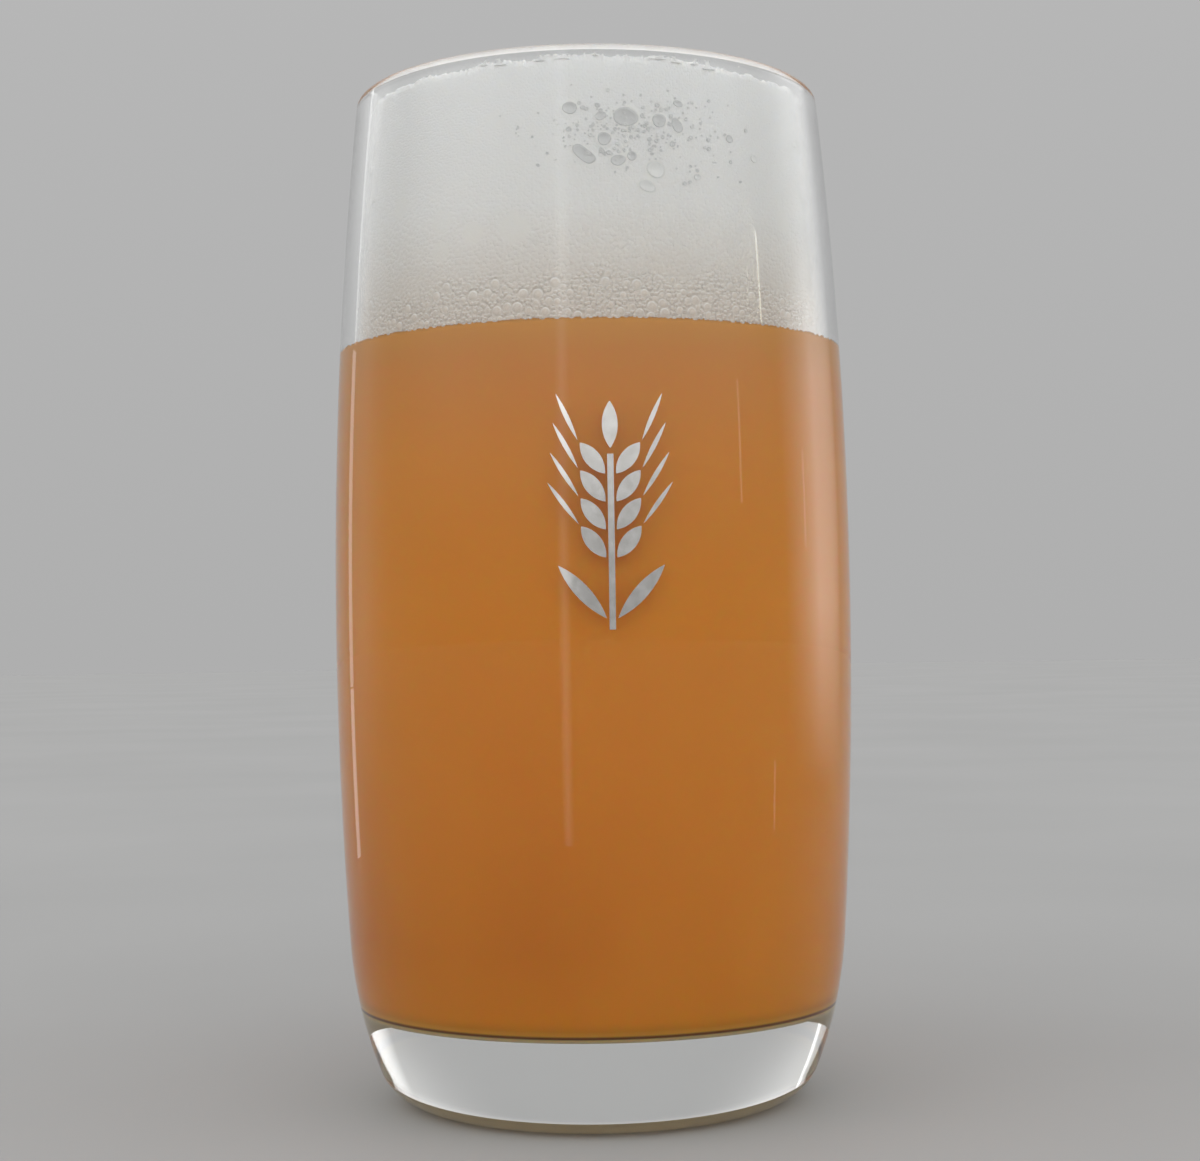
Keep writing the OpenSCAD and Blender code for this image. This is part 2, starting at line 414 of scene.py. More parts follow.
def film_material():
    m = Material("bubble_film")
    n = m.noise(500)
    # The grey of the film is painted shade, for the shade inside each bubble's hollow; the mark makes some
    # films paler
    grey = m.ramp(n, [(0.3, (0.59, 0.585, 0.575)), (0.7, (0.62, 0.615, 0.605))])
    pale = m.ramp(n, [(0.3, (0.84, 0.83, 0.80)), (0.7, (0.90, 0.89, 0.86))])
    m.put(Base_Color=m.mix(grey, pale, m.mark("pale")), Roughness=m.span(n, 0.3, 0.7, 0.12, 0.28))
    return m.mat


def print_material():
    m = Material("silver_print")
    n = m.noise(700, 3)
    m.put(Base_Color=m.ramp(n, [(0.3, (0.57, 0.555, 0.53)), (0.7, (0.64, 0.63, 0.61))]))
    m.put(Roughness=m.span(n, 0.3, 0.7, 0.14, 0.20), Metallic=1.0)
    return m.mat


def floor_material():
    m = Material("pale_floor")
    m.put(Base_Color=m.ramp(m.noise(6, 3), [(0.35, (0.397, 0.397, 0.394)), (0.65, (0.417, 0.417, 0.414))]))
    m.put(Roughness=0.6, Specular_IOR_Level=0.1)
    return m.mat


# Glass and beer


def make_tumbler():
    foot = edge_centre(0.0, FOOT_R, 0.0)[0]
    hollow_r = ((HOLLOW_D / 2) ** 2 + HOLLOW_H**2) / (2 * HOLLOW_H)
    half = math.asin(HOLLOW_D / 2 / hollow_r)
    points = [(0.0, HOLLOW_H)]
    points += arc(0, HOLLOW_H - hollow_r, hollow_r, math.pi / 2, math.pi / 2 - half, HOLLOW_ARC)[1:]
    points += fill_flat(points[-1], (foot, 0.0), 6)
    lip_r = WALL / 2
    lip_z = GLASS_H - lip_r
    lip_a = math.asin((lip_z - BELLY_Z) / (BARREL_R - lip_r))
    lip_x = BARREL_X + (BARREL_R - lip_r) * math.cos(lip_a)
    outer_top = BELLY_Z + BARREL_R * math.sin(lip_a)
    inner_top = BELLY_Z + (BARREL_R - WALL) * math.sin(lip_a)
    points += side_profile(0.0, 0.0, FOOT_R, outer_top, GLASS_ARCS)
    points += arc(lip_x, lip_z, lip_r, lip_a, lip_a + math.pi, LIP_ARC)[1:]
    inside = side_profile(WALL, FLOOR_Z, FLOOR_R, inner_top, GLASS_ARCS)
    points += inside[::-1][1:]
    points += fill_flat(inside[0], (0.0, FLOOR_Z), 16) + [(0.0, FLOOR_Z)]
    verts, faces = revolve_grid(points, GLASS_ROUND)
    r, z = np.hypot(verts[:, 0], verts[:, 1]), verts[:, 2]
    inner = r < wall_radius(WALL / 2, z)
    foamed = inner * smooth(BEER_Z, BEER_Z + 0.5 * MM, z) * smooth(FOAM_Z + 0.6 * MM, FOAM_Z, z)
    marks = {"foamed": foamed}
    return link("tumbler_glass", verts, faces, glass_material(), ["tumbler"], marks)


# The beer's top lies this far below the solid's, and the points of its edge at the glass this far above it.
# Bubbles on that edge leave bites in it, up to so wide, and the ring this far below it is calm.
BEER_DIP = 0.18 * MM
BITE = 1.1 * MM
CALM = 0.5 * MM


def bites(angle):
    """Round bites of random width in a row round the glass. Heights are 0 at the points between them."""
    rng = np.random.default_rng(5)
    count = int(math.pi * BELLY_D / (0.62 * BITE))
    ends = np.cumsum(rng.uniform(0.3, 1.0, count))
    ends *= 2 * math.pi / ends[-1]
    starts = np.concatenate([[0.0], ends[:-1]])
    k = np.minimum(np.searchsorted(ends, angle), count - 1)
    width = ends[k] - starts[k]
    u = 2 * (angle - starts[k]) / width - 1
    return -0.36 * width * BELLY_D / 2 * np.sqrt(np.clip(1 - u * u, 0, 1))


def make_beer():
    n = BEER_ROUND
    side = side_profile(WALL - WET, FLOOR_Z - WET, FLOOR_R, BEER_Z, BEER_ARCS)
    side.insert(-1, (float(wall_radius(WALL - WET, BEER_Z - CALM)), BEER_Z - CALM))
    floor, top = (0.0, FLOOR_Z - WET), (0.0, BEER_Z - BEER_DIP)
    points = [floor] + fill_flat(floor, side[0], 4) + side
    edge = 1 + (len(points) - 2) * n
    lid_in = 0.1 * MM
    lid = (side[-1][0] - lid_in, top[1])
    points += [lid] + fill_flat(lid, top, 4) + [top]
    verts, faces = revolve_grid(points, n)
    angle = np.linspace(0, 2 * math.pi, n, endpoint=False)
    z = BEER_Z + BEER_DIP + np.maximum(bites(angle), -1.9 * BEER_DIP)
    r = wall_radius(WALL - WET, z)
    verts[edge : edge + n] = np.stack([r * np.cos(angle), r * np.sin(angle), z], 1)
    return link("beer_body", verts, faces, beer_material(), ["beer"])


# Bubbles in the head

# Large bubbles against the glass: angle from the front, height of the middle, width, height, turn, and how
# pale it is. Lengths are in mm and angles in degrees.
BUBBLES = [
    (-3.7, 131.7, 1.8, 1.6, 0, 0.0),
    (-0.6, 131.7, 0.7, 0.5, 0, 0.0),
    (2.8, 132.0, 0.7, 0.6, 0, 0.0),
    (3.5, 130.6, 1.4, 1.1, 35, 0.1),
    (9.3, 130.5, 3.1, 2.4, 0, 0.0),
    (17.3, 130.2, 1.8, 1.7, 0, 0.0),
    (21.7, 129.7, 1.3, 2.0, 20, 0.0),
    (22.2, 132.6, 1.3, 0.8, -8, 0.0),
    (17.0, 132.2, 0.7, 0.5, 0, 0.0),
    (4.2, 127.6, 1.7, 1.65, 0, 0.0),
    (-3.9, 128.9, 0.7, 0.65, 0, 0.0),
    (-0.5, 125.6, 3.3, 1.5, -42, 0.0),
    (7.3, 124.8, 1.85, 1.4, 5, 0.2),
    (10.5, 125.4, 1.2, 1.15, -30, 0.0),
    (3.5, 126.0, 0.7, 0.6, 0, 0.0),
    (5.2, 125.8, 0.65, 0.6, 0, 0.0),
    (8.8, 128.7, 0.7, 0.35, 0, 0.0),
    (10.5, 127.9, 0.5, 0.5, 0, 0.0),
    (13.8, 129.4, 0.5, 0.5, 0, 0.0),
    (20.3, 127.2, 0.7, 0.75, 25, 0.0),
    (35.7, 128.7, 1.1, 0.95, -20, 0.1),
    (29.7, 127.0, 0.7, 0.5, 20, 0.1),
    (16.0, 123.7, 2.4, 2.1, -10, 0.85),
    (13.9, 121.5, 2.1, 1.5, -25, 0.8),
    (43.0, 126.6, 1.2, 1.0, -15, 1.0),
    (26.2, 123.1, 0.9, 0.85, 0, 0.6),
]

# Large bubbles deeper in the foam, which show as faint discs: angle, height of the middle, diameter
GHOSTS = [
    (-35.2, 118.3, 3.2),
    (-26.7, 116.2, 3.0),
    (-16.5, 116.4, 4.0),
    (-48.5, 121.4, 2.6),
    (-21.8, 130.8, 2.6),
    (-35.2, 114.3, 2.8),
    (52, 119.0, 3.0),
    (120, 122.0, 3.4),
    (-110, 118.0, 3.2),
    (165, 116.0, 3.6),
    (-150, 125.0, 3.0),
]

# Small bubbles: how many lie in the cluster round the large ones and how many elsewhere, the middle and the
# spread of the cluster as angle and height, and the heights between which there are any. Those elsewhere lie
# more than an angle from the front.
IN_CLUSTER, ELSEWHERE = 240, 180
CLUSTER, SPREAD = (11, 128.6), (13, 2.7)
CLUSTER_LOW, SMALL_LOW, SMALL_HIGH = 120, 112, 135
OFF_FRONT = 60


def small_bubbles():
    """Small bubbles scattered round the large ones, and a few on the sides and the back."""
    rng = np.random.default_rng(21)
    out = []

    def add(azimuth, z, d, pale):
        out.append((azimuth, z, d * rng.uniform(1.0, 1.3), d, rng.uniform(-60, 60), rng.uniform(*pale)))

    while len(out) < IN_CLUSTER:
        azimuth, z = rng.normal(CLUSTER[0], SPREAD[0]), rng.normal(CLUSTER[1], SPREAD[1])
        d = 0.18 + 0.36 * rng.uniform() ** 2.5
        if CLUSTER_LOW < z < SMALL_HIGH:
            add(azimuth, z, d, (0.1, 0.5))
    while len(out) < IN_CLUSTER + ELSEWHERE:
        azimuth, z = rng.uniform(-180, 180), rng.uniform(SMALL_LOW, SMALL_HIGH)
        d = 0.15 + 0.8 * rng.uniform() ** 4
        if abs(azimuth) > OFF_FRONT:
            add(azimuth, z, d, (0.75, 1.0))
    return out


ALL_BUBBLES = BUBBLES + small_bubbles()

# A bubble that measures more than this both ways, in mm, presses a dent into the foam and has a finer film
LARGE = 0.6


# Foam

# Wisps of foam that cling to the glass under the lip: angle from the front, width in mm, lean in degrees
WISPS = [
    (-25, 1.2, 1.0),
    (-20.5, 1.8, -0.6),
    (-10.8, 1.6, 0.3),
    (-5.5, 2.2, 0.8),
    (2.6, 0.9, -0.2),
    (17.5, 2.6, 1.2),
    (22.3, 1.6, -0.8),
    (27, 1.2, 0.5),
    (31, 2.0, -0.5),
    (75, 1.4, 0.6),
    (112, 1.8, -0.6),
    (139, 1.2, 0.4),
    (170, 2.0, 0.5),
    (-158, 1.4, -0.6),
    (-121, 1.9, 0.7),
    (-84, 1.2, -0.4),
]

# Radius of the foam's upper edge, and the heights of the tufts on it, one beside the other
EDGE_R = 31 * MM
TUFTS = np.random.default_rng(17).uniform(0, 1, 1100) ** 2

# Reach of a place that lies in no bubble, and the marks of foam without bubbles
FAR = 2.0
FOAM_MARKS = {"coarse": 0.0, "reach": FAR, "high": 0.0, "tone": 0.0, "ghost": 0.0, "plain": 0.0}

# Bare foam lies this far behind its bubbles, at the glass and on top
BARE = 0.10 * MM
BARE_TOP = 0.12 * MM

# Bubbles on top of the head, and how far from its middle they lie
TOP_BUBBLES = 420
TOP_REACH = 30 * MM

FOAM = foam_material("foam")
WET_FOAM = foam_material("wet_foam")


def angle_off(angle, degrees):
    """Angle from a direction given in degrees, between minus and plus half a turn."""
    return np.mod(angle - math.radians(degrees) + math.pi, 2 * math.pi) - math.pi


def dome(reach):
    """How far a round bubble falls back from its middle, from 0 there to 1 at its wall."""
    return 1 - np.sqrt(1 - np.clip(reach, 0, 1) ** 2)


def foam_rim(angle):
    """How far the foam's upper edge at the glass rises above the solid's: its slow swing, and its fuzz."""
    lift = 0.75 * np.exp(-((angle_off(angle, 2) / math.radians(36)) ** 2)) - 0.10
    lift += 0.10 * np.sin(7 * angle + 0.6) + 0.08 * np.sin(17 * angle + 2.0)
    fuzz = 0.08 * np.sin(41 * angle + 1.1)
    share = np.mod(angle, 2 * math.pi) / (2 * math.pi) * len(TUFTS)
    fuzz += 0.42 * np.interp(share, np.arange(len(TUFTS)), TUFTS, period=len(TUFTS))
    for azimuth, width, _ in WISPS:
        fuzz += 0.22 * np.exp(-((angle_off(angle, azimuth) * EDGE_R / (width * MM)) ** 2))
    return lift * MM, fuzz * MM


def collar_top(angle):
    """Height of the upper edge of the coarse bubbles on the beer."""
    share = 0.10 + 0.06 * np.cos(angle - 0.1) + 0.02 * np.sin(11 * angle + 1.0) + 0.015 * np.sin(29 * angle)
    return BEER_Z + share * (FOAM_Z - BEER_Z)


def collar_bubbles():
    """Larger round bubbles in the collar, clear of each other: angle, height, diameter and warmth."""
    rng = np.random.default_rng(8)
    mm_per_degree = 0.55
    out = np.zeros((0, 4))
    for tries, small, large, rise in ((170, 0.95, 1.45, 0.9), (520, 0.62, 0.9, 1.1)):
        for _ in range(tries):
            azimuth, d = rng.uniform(-180, 180), rng.uniform(small, large)
            high = (float(collar_top(np.radians(azimuth))) - BEER_Z) / MM
            z = BEER_Z / MM + 0.2 + rng.uniform() ** 1.2 * high * rise
            warmth = rng.uniform(0.1, 0.55)
            apart = np.hypot((out[:, 0] - azimuth) * mm_per_degree, out[:, 1] - z)
            if np.all(apart > 0.47 * (out[:, 2] + d)):
                out = np.vstack([out, (azimuth, z, d, warmth)])
    return out


COLLAR = collar_bubbles()


def spot_near(angle, height, azimuth, z_mid, far):
    """Index of the points of a grid on the side of the foam that lie near a place."""
    n = angle.shape[1]
    step = 2 * math.pi / n
    low, high = np.searchsorted(height[:, 0], (z_mid - far, z_mid + far))
    # The grid starts at +X, a quarter turn from the front
    mid = round(math.radians(azimuth - 90) / step)
    least_r = 0.45 * RIM_D
    half = math.ceil(far / (step * least_r))
    return np.ix_(np.arange(low, high), np.arange(mid - half, mid + half + 1) % n)


def reach_of(angle, height, spot, azimuth, z_mid, w, h, turn):
    """How far the points of a spot lie from a bubble's middle, 1 on its edge, and how high above it."""
    s, q = angle_off(angle[spot], azimuth) * wall_radius(FOAM_INSET, z_mid), height[spot] - z_mid
    c, d = math.cos(math.radians(turn)), math.sin(math.radians(turn))
    return np.hypot((s * c + q * d) / (w / 2), (q * c - s * d) / (h / 2)), q / (h / 2)


def raise_mark(mark, spot, value):
    """Raises a mark in one spot to a value, where it is lower."""
    mark[spot] = np.maximum(mark[spot], value)


def foam_face(angle, height):
    """How deep the wall side of the foam lies at each point of a grid, and the marks for its material."""
    push = np.full(angle.shape, BARE)
    marks = {key: np.full(angle.shape, none) for key, none in FOAM_MARKS.items()}
    for azimuth, z_mid, d, warmth in COLLAR:
        spot = spot_near(angle, height, azimuth, z_mid * MM, 0.8 * d * MM)
        reach, high = reach_of(angle, height, spot, azimuth, z_mid * MM, d * MM, d * MM, 0)
        inside = smooth(1.3, 1.0, reach)
        push[spot] = push[spot] * (1 - inside) + 0.22 * d * MM * dome(reach) * inside
        raise_mark(marks["tone"], spot, warmth * smooth(1.0, 0.6, reach))
        raise_mark(marks["plain"], spot, inside)
        marks["high"][spot] = np.where(reach < marks["reach"][spot], high, marks["high"][spot])
        marks["reach"][spot] = np.minimum(marks["reach"][spot], reach)
    for azimuth, z_mid, w, h, turn, _ in ALL_BUBBLES:
        if min(w, h) > LARGE:
            spot = spot_near(angle, height, azimuth, z_mid * MM, 0.9 * max(w, h) * MM)
            reach, _ = reach_of(angle, height, spot, azimuth, z_mid * MM, w * MM, h * MM, turn)
            clean = smooth(1.5, 1.1, reach)
            dent = 0.16 * min(w, h) * MM * np.sqrt(np.clip(1 - reach**2, 0, 1))
            push[spot] = push[spot] * (1 - clean) + dent * clean
            raise_mark(marks["ghost"], spot, 0.5 * smooth(1.45, 1.05, reach))
            raise_mark(marks["plain"], spot, clean)
    for azimuth, z_mid, d in GHOSTS:
        spot = spot_near(angle, height, azimuth, z_mid * MM, 0.6 * d * MM)
        reach, _ = reach_of(angle, height, spot, azimuth, z_mid * MM, d * MM, d * MM, 0)
        raise_mark(marks["ghost"], spot, 0.35 * smooth(1.1, 0.85, reach) * (0.6 + 0.4 * reach))
        raise_mark(marks["plain"], spot, 0.7 * smooth(1.1, 0.9, reach))
    up = (height - BEER_Z) / (FOAM_Z - BEER_Z)
    top = collar_top(angle)
    coarse = np.maximum(smooth(top + 2.2 * MM, top - 1.0 * MM, height), 0.28 * smooth(0.75, 0.25, up))
    marks["coarse"] = coarse * (1 - marks["plain"])
    return push, marks


def foam_top(x, y):
    """How deep the top of the foam lies at each point, with bubbles of several sizes, and its marks."""
    rng = np.random.default_rng(9)
    drop = np.full(x.shape, BARE_TOP)
    marks = {key: np.full(x.shape, none) for key, none in FOAM_MARKS.items()}
    for _ in range(TOP_BUBBLES):
        r, a = TOP_REACH * math.sqrt(rng.uniform()), rng.uniform(0, 2 * math.pi)
        d = (0.7 + 2.2 * rng.uniform() ** 3) * MM
        reach = np.hypot(x - r * math.cos(a), y - r * math.sin(a)) / (d / 2)
        inside = smooth(1.25, 1.0, reach)
        drop = drop * (1 - inside) + 0.2 * d * dome(reach) * inside
        marks["plain"] = np.maximum(marks["plain"], inside)
        marks["reach"] = np.minimum(marks["reach"], reach)
    marks["coarse"] = 0.6 * (1 - marks["plain"])
    return drop, marks


def press_face(side):
    """Presses bubbles into the wall side of a foam piece. Gives the angles of its grid and its marks."""
    angle = np.arctan2(side[..., 0], -side[..., 1])
    height = side[..., 2].copy()
    push, marks = foam_face(angle, height)
    side -= np.stack([np.sin(angle), -np.cos(angle), np.zeros_like(angle)], -1) * push[..., None]
    # The skin is the side as if it were unrolled
    marks["skin"] = np.stack([angle * RIM_D / 2, height, np.zeros_like(angle)], -1)
    return angle, marks


def join_marks(verts, grids):
    """Marks for all vertices of a foam piece, from those of the grids that start at certain vertices."""
    marks = {key: np.full(len(verts), none) for key, none in FOAM_MARKS.items()}
    marks["skin"] = np.array(verts)
    for start, found in grids:
        for key, values in found.items():
            values = values.reshape(-1, *marks[key].shape[1:])
            marks[key][start : start + len(values)] = values
    return marks


def make_layer():
    n = LAYER_ROUND
    low = BEER_Z - BEER_DIP + SEAM
    rows_z = np.arange(low + SEAM, LAYER_Z - SEAM, LAYER_ROW)
    rows_z = np.concatenate([[low], rows_z, [LAYER_Z - SEAM, LAYER_Z]])
    wall = [(float(wall_radius(FOAM_INSET, z)), float(z)) for z in rows_z]
    floor, top = (0.0, low), (0.0, LAYER_Z)
    points = [floor] + fill_flat(floor, wall[0], FLAT_RINGS) + wall
    points += fill_flat(wall[-1], top, FLAT_RINGS) + [top]
    verts, faces = revolve_grid(points, n)
    base = 1 + FLAT_RINGS * n
    _, face_marks = press_face(verts[base : base + len(wall) * n].reshape(len(wall), n, 3))
    marks = join_marks(verts, [(base, face_marks)])
    return link("wet_bubble_layer", verts, faces, WET_FOAM, ["bubble_layer"], marks)


def make_foam():
    n = FOAM_ROUND
    # Rows up the side lie closer together in the collar, and the upper edge is rounded
    bend, collar = 0.5 * MM, 5 * MM
    low = np.arange(LAYER_Z + SEAM, LAYER_Z + collar, LOW_ROW)
    rows_z = np.concatenate([[LAYER_Z], low, np.arange(low[-1] + HIGH_ROW, FOAM_Z - bend, HIGH_ROW)])
    wall = [(float(wall_radius(FOAM_INSET, z)), float(z)) for z in rows_z]
    edge = float(wall_radius(FOAM_INSET, FOAM_Z))
    wall += arc(edge - bend, FOAM_Z - bend, bend, 0.0, math.pi / 2 * 0.95, 6)
    # Rings of the crown, the last twelve round its middle
    crown_r = (edge**2 + FOAM_CROWN**2) / (2 * FOAM_CROWN)
    rings = np.arange(edge - bend - 0.25 * MM, 6 * MM, -CROWN_ROW)
    rings = np.concatenate([rings, np.linspace(5.6 * MM, 0.3 * MM, 12), [0.0]])
    crown = [(float(r), FOAM_Z + FOAM_CROWN - crown_r + math.sqrt(crown_r**2 - r * r)) for r in rings]
    floor, inner = (0.0, LAYER_Z), (wall[0][0] - 0.8 * MM, LAYER_Z)
    under = [floor] + fill_flat(floor, inner, FLAT_RINGS) + [inner]
    verts, faces = revolve_grid(under + wall + crown, n)

    base = 1 + (FLAT_RINGS + 1) * n
    over = base + len(wall) * n
    side = verts[base:over].reshape(len(wall), n, 3)
    height = side[..., 2].copy()
    angle, side_marks = press_face(side)
    lift, fuzz = foam_rim(angle)
    side[..., 2] += (lift + fuzz) * smooth(FOAM_Z - 3 * MM, FOAM_Z, height)

    top = verts[over:-1].reshape(-1, n, 3)
    drop, top_marks = foam_top(top[..., 0], top[..., 1])
    lift, fuzz = foam_rim(np.arctan2(top[..., 0], -top[..., 1]))
    out = np.hypot(top[..., 0], top[..., 1])
    top[..., 2] += lift * smooth(edge - 6 * MM, edge, out) + fuzz * smooth(edge - 1.3 * MM, edge, out) - drop
    marks = join_marks(verts, [(base, side_marks), (over, top_marks)])
    return link("foam_body", verts, faces, FOAM, ["foam_head"], marks)


# Rings and spokes of the film over a bubble
LARGE_FILM = (5, 28)
SMALL_FILM = (2, 12)


def film_point(bubble, share, a, back):
    """A place on the film over a bubble, at a share of its reach and an angle, on its front or its back."""
    azimuth, z_mid, w, h, turn, _ = bubble
    small = min(w, h)
    # A long bubble has blunt ends
    power = 2.0 if max(w, h) / small < 1.8 else 3.2
    outline = (abs(math.cos(a)) ** power + abs(math.sin(a)) ** power) ** (-1 / power)
    wobble = 1 + 0.04 * math.sin(2 * a + azimuth) + 0.03 * math.sin(3 * a + 7 * z_mid)
    reach = share * outline * wobble
    p, q = reach * math.cos(a) * w * MM / 2, reach * math.sin(a) * h * MM / 2
    c, d = math.cos(math.radians(turn)), math.sin(math.radians(turn))
    s, z = p * c - q * d, z_mid * MM + p * d + q * c
    # The film is proud of the foam at its edge, and thicker on a larger bubble. Both depths are in mm.
    dish = 0.15 * small * (1 - share**2) - 0.04
    thick = 0.05 + 0.05 * small
    r = float(wall_radius(FOAM_INSET, z)) - (dish + back * thick) * MM
    around = math.radians(azimuth) + s / r
    return r * math.sin(around), -r * math.cos(around), z


def make_bubbles():
    """A film over each bubble that lies against the glass: a shallow dish with a rounded outline."""
    verts, faces, pale, crisp = [], [], [], []
    for bubble in ALL_BUBBLES:
        rings, spokes = LARGE_FILM if min(bubble[2:4]) > LARGE else SMALL_FILM
        step = 2 * math.pi / spokes
        edges = []
        for back in (0, 1):
            middle = len(verts)
            starts = [middle + 1 + i * spokes for i in range(rings)]
            verts.append(film_point(bubble, 0.0, 0.0, back))
            for i in range(1, rings + 1):
                verts += [film_point(bubble, i / rings, step * k, back) for k in range(spokes)]
            for k in range(spokes):
                k2 = (k + 1) % spokes
                disc = [[middle, starts[0] + k, starts[0] + k2]]
                disc += [[a + k, b + k, b + k2, a + k2] for a, b in zip(starts, starts[1:])]
                faces += [f[::-1] for f in disc] if back else disc
            edges.append(starts[-1])
        a, b = edges
        crisp += range(len(faces), len(faces) + spokes)
        for k in range(spokes):
            k2 = (k + 1) % spokes
            faces.append([a + k2, a + k, b + k, b + k2])
        pale += [bubble[5]] * (len(verts) - len(pale))
    marks = {"pale": pale}
    obj = link("foam_bubbles", verts, faces, film_material(), ["large_bubbles"], marks)
    for k in crisp:
        obj.data.polygons[k].use_smooth = False
    return obj


def sheet_pair(faces, first, n_u, n_v):
    """Closes two grids of n_v rows by n_u points, the front one and then the back one, into a thin solid."""
    size = n_u * n_v
    for back in (0, 1):
        start = first + back * size
        for j in range(n_v - 1):
            for i in range(n_u - 1):
                a = start + j * n_u + i
                f = [a, a + 1, a + n_u + 1, a + n_u]
                faces.append(f[::-1] if back else f)
    ring = list(range(n_u)) + [j * n_u + n_u - 1 for j in range(1, n_v)]
    ring += [(n_v - 1) * n_u + i for i in range(n_u - 2, -1, -1)] + [j * n_u for j in range(n_v - 2, 0, -1)]
    for a, b in zip(ring, ring[1:] + ring[:1]):
        faces.append([first + b, first + a, first + size + a, first + size + b])


def make_lacing():
    """Thin strands between the foam's upper edge and the lip, wide at the foot and narrow at the neck."""
    verts, faces = [], []
    below_lip, root, off_wall = 0.05 * MM, 0.5 * MM, 0.04 * MM
    top = GLASS_H - WALL / 2 - below_lip
    n_u, n_v = 15, 13
    for azimuth, width, lean in WISPS:
        first = len(verts)
        foot = FOAM_Z + float(sum(foam_rim(np.array(math.radians(azimuth))))) - root
        for back in (0, 1):
            for t in np.linspace(0, 1, n_v):
                z = foot + (top - foot) * t
                half = width * MM / 2 * (0.16 + 0.84 * (1 - t) ** 2.2 + 0.22 * t**5)
                for q in np.linspace(-1, 1, n_u):
                    thick = (0.06 + 0.26 * (1 - q * q)) * (1 - 0.4 * t)
                    r = float(wall_radius(WALL, z)) - off_wall - back * thick * MM
                    around = math.radians(azimuth + lean * t) + q * half / r
                    verts.append((r * math.sin(around), -r * math.cos(around), z))
        sheet_pair(faces, first, n_u, n_v)
    marks = join_marks(verts, [])
    marks["skin"] = marks["skin"][:, (0, 2, 1)]
    return link("rim_wisps", verts, faces, FOAM, ["rim_lacing"], marks)


make_tumbler()
make_beer()
make_layer()
make_foam()
make_bubbles()
make_lacing()

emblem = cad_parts["printed_emblem"]
emblem.data.materials.clear()
emblem.data.materials.append(print_material())


# Stage and light


def make_floor():
    radii = (0.0, 0.05, 0.2, 0.8, 2.5, 6.0)
    verts, faces = revolve_grid([(r, 0.0) for r in radii], FLOOR_ROUND)
    mesh = bpy.data.meshes.new("floor")
    mesh.from_pydata([tuple(v) for v in verts], [], [f[::-1] for f in faces])
    mesh.update()
    mesh.materials.append(floor_material())
    floor = bpy.data.objects.new("floor", mesh)
    bpy.context.scene.collection.objects.link(floor)
    return floor


WHITE = (1, 1, 1)

# Panels of light round the glass: azimuth in degrees, where 0 is the camera's side and 90 the right, then
# distance, height of the middle, width and height in metres, radiance and tint. These are even.
STRIPS = [
    ("slit_left", -127.5, 0.283, 0.025, 0.02, 0.05, 1.0, WHITE),
    ("slit_left", -127.5, 0.283, 0.10, 0.02, 0.10, 0.85, WHITE),
    ("slit_left", -127.5, 0.283, 0.225, 0.011, 0.15, 0.9, WHITE),
    ("streak_right", 79, 0.28, 0.178, 0.004, 0.030, 6.0, (1, 0.95, 0.74)),
    ("streak_right", 80, 0.28, 0.012, 0.004, 0.022, 1.2, WHITE),
    ("streak_right", 64, 0.28, 0.125, 0.004, 0.040, 1.5, (1, 0.98, 0.9)),
    ("streak_right", 101, 0.28, 0.105, 0.004, 0.030, 1.2, WHITE),
]

# Panels that fade out to both sides, each with its strength at several shares of its height
WINDOWS = [
    (("window_right", 112.6, 0.36, 0.163, 0.332, 0.326, 1.75, WHITE),
     [(0, 0), (0.22, 1), (0.48, 1), (0.62, 0.36), (1, 0.32)]),
    (("window_left", -113.5, 0.40, 0.173, 0.28, 0.345, 0.20, WHITE),
     [(0, 0), (0.2, 1), (0.8, 1), (1, 0)]),
    (("window_front", -10.7, 0.17, 0.125, 0.018, 0.25, 0.85, WHITE),
     [(0, 1), (1, 1)]),
]

# The panels face this place on the axis of the glass
AIM = Vector((0, 0, 0.07))


def panel(name, azimuth, distance, height, width, tall, radiance, tint):
    """A panel of light. It shows in reflections and through the glass, and lights no matt surface."""
    light = bpy.data.lights.new(name, "AREA")
    light.shape = "RECTANGLE"
    light.size, light.size_y = width, tall
    light.energy = radiance * math.pi * width * tall
    light.color = tint
    obj = bpy.data.objects.new(name, light)
    a = math.radians(azimuth)
    obj.location = (distance * math.sin(a), -distance * math.cos(a), height)
    obj.rotation_euler = (AIM - obj.location).to_track_quat("-Z", "Y").to_euler()
    obj.visible_camera = False
    obj.visible_diffuse = False
    bpy.context.scene.collection.objects.link(obj)
    return light


def fade_panel(light, up):
    """Lets a panel fade out to both sides, and change its strength up its height."""
    light.use_nodes = True
    tree = Tree(light.node_tree)
    place = tree.parts(tree.add("NewGeometry").outputs["Parametric"])
    across = tree.ramp(place["X"], [(0, 0), (0.5, 1), (1, 0)])
    strength = tree.math("MULTIPLY", across, tree.ramp(place["Y"], up))
    tree.feed(tree.nodes["Emission"].inputs["Strength"], strength)


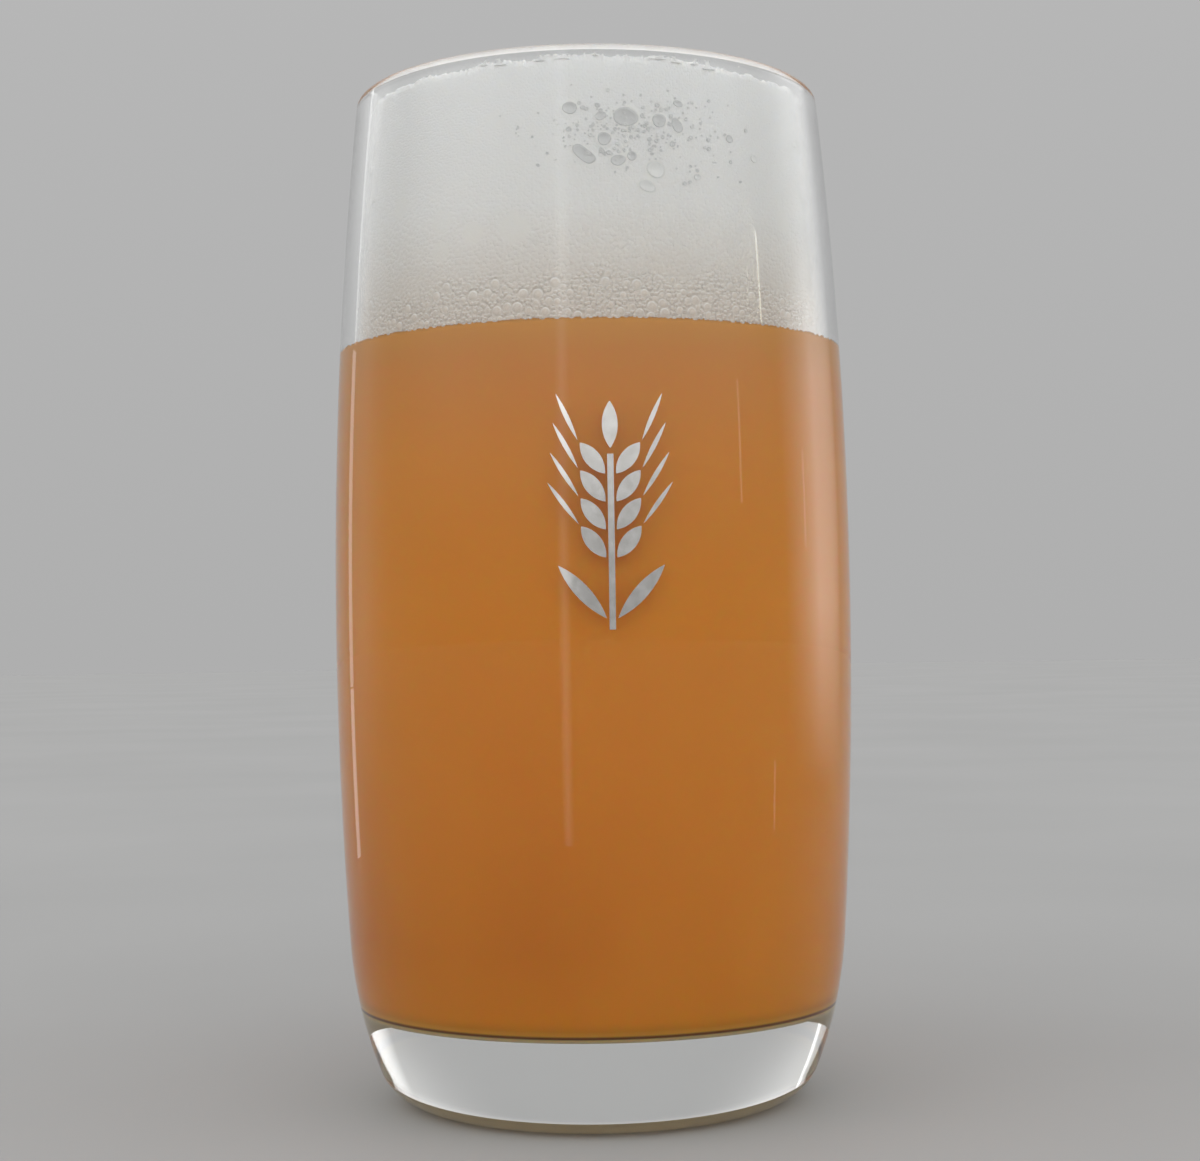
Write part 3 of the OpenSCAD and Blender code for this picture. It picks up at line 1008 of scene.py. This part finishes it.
class Room(Tree):
    """A grey room with soft bright patches. The camera itself sees only plain grey, paler at the top."""

    GREY = 0.42
    SEEN = [(0.0, 0.42), (1.0, 0.50)]

    def __init__(self):
        world = bpy.data.worlds.new("studio")
        world.use_nodes = True
        world.node_tree.nodes.clear()
        super().__init__(world.node_tree)
        direction = self.parts(self.add("TexCoord").outputs["Generated"])
        self.azimuth = self.math("ARCTAN2", direction["X"], self.math("MULTIPLY", direction["Y"], -1.0))
        self.up = direction["Z"]
        self.overhead = self.fade(self.up, 0.9, 0.6)
        bpy.context.scene.world = world

    def fade(self, value, far, near):
        """Rises smoothly from 0 at far to 1 at near."""
        return self.span(value, far, near, kind="SMOOTHSTEP")

    def patch(self, azimuth, full, none, low, high, radiance):
        """Radiance of a soft patch that fades out overhead. It is full up to one angle from its azimuth, and
        gone at another, all in degrees. Low and high are the sines of the elevations where it fades in."""
        off = self.math("ABSOLUTE", self.math("SUBTRACT", self.azimuth, math.radians(azimuth)), 0.0)
        across = self.fade(off, math.radians(none), math.radians(full))
        up = self.math("MULTIPLY", self.fade(self.up, low, high), self.overhead)
        return self.math("MULTIPLY", self.math("MULTIPLY", across, up), radiance)

    def light(self, patches):
        total = self.GREY
        for patch in patches:
            total = self.math("ADD", self.patch(*patch), total)
        lit, seen = self.add("Background"), self.add("Background")
        self.feed(lit.inputs["Color"], (1, 1, 1, 1))
        self.feed(lit.inputs["Strength"], total)
        self.feed(seen.inputs["Color"], self.ramp(self.fade(self.up, -0.15, 0.6), self.SEEN))
        both = self.add("MixShader")
        self.feed(both.inputs[0], self.add("LightPath").outputs["Is Camera Ray"])
        self.feed(both.inputs[1], lit.outputs[0])
        self.feed(both.inputs[2], seen.outputs[0])
        self.feed(self.add("OutputWorld").inputs[0], both.outputs[0])


# Patches in front, on the left, on the right and behind. The last is measured from the front too: it is gone
# at the smaller angle, and full at the larger.
PATCHES = [
    (0, 50, 118, 0.0, 0.42, 1.60),
    (-102, 15, 65, 0.05, 0.40, 0.55),
    (102, 15, 65, 0.05, 0.40, 0.45),
    (0, 150, 100, 0.32, 0.70, 1.0),
]

make_floor()
for window, up in WINDOWS:
    fade_panel(panel(*window), up)
for strip in STRIPS:
    panel(*strip)
Room().light(PATCHES)

# Light is guided a long way inside the wall of the glass
BOUNCES = 32
scene = bpy.context.scene
scene.view_settings.view_transform = "Standard"
scene.cycles.max_bounces = BOUNCES
scene.cycles.glossy_bounces = BOUNCES
scene.cycles.transmission_bounces = BOUNCES

# The camera stands where the photograph was taken from: worked out from the outline of the glass
FOCAL_PX = 2104.5
PHOTO_W = 1200
SENSOR = 36.0
CAM_BACK = 298.5 * MM
CAM_UP = 63.07 * MM
CAM_SIDE = 1.013 * MM
CAM_PITCH = math.radians(1.763)
CAM_ROLL = math.radians(0.815)
cam_data = bpy.data.cameras.new("camera")
cam_data.sensor_width = SENSOR
cam_data.lens = SENSOR * FOCAL_PX / PHOTO_W
cam_data.clip_start = 10 * MM
cam = bpy.data.objects.new("camera", cam_data)
turn = Matrix.Rotation(math.pi / 2 + CAM_PITCH, 4, "X") @ Matrix.Rotation(-CAM_ROLL, 4, "Z")
cam.matrix_world = Matrix.Translation((CAM_SIDE, -CAM_BACK, CAM_UP)) @ turn
scene.collection.objects.link(cam)
scene.camera = cam
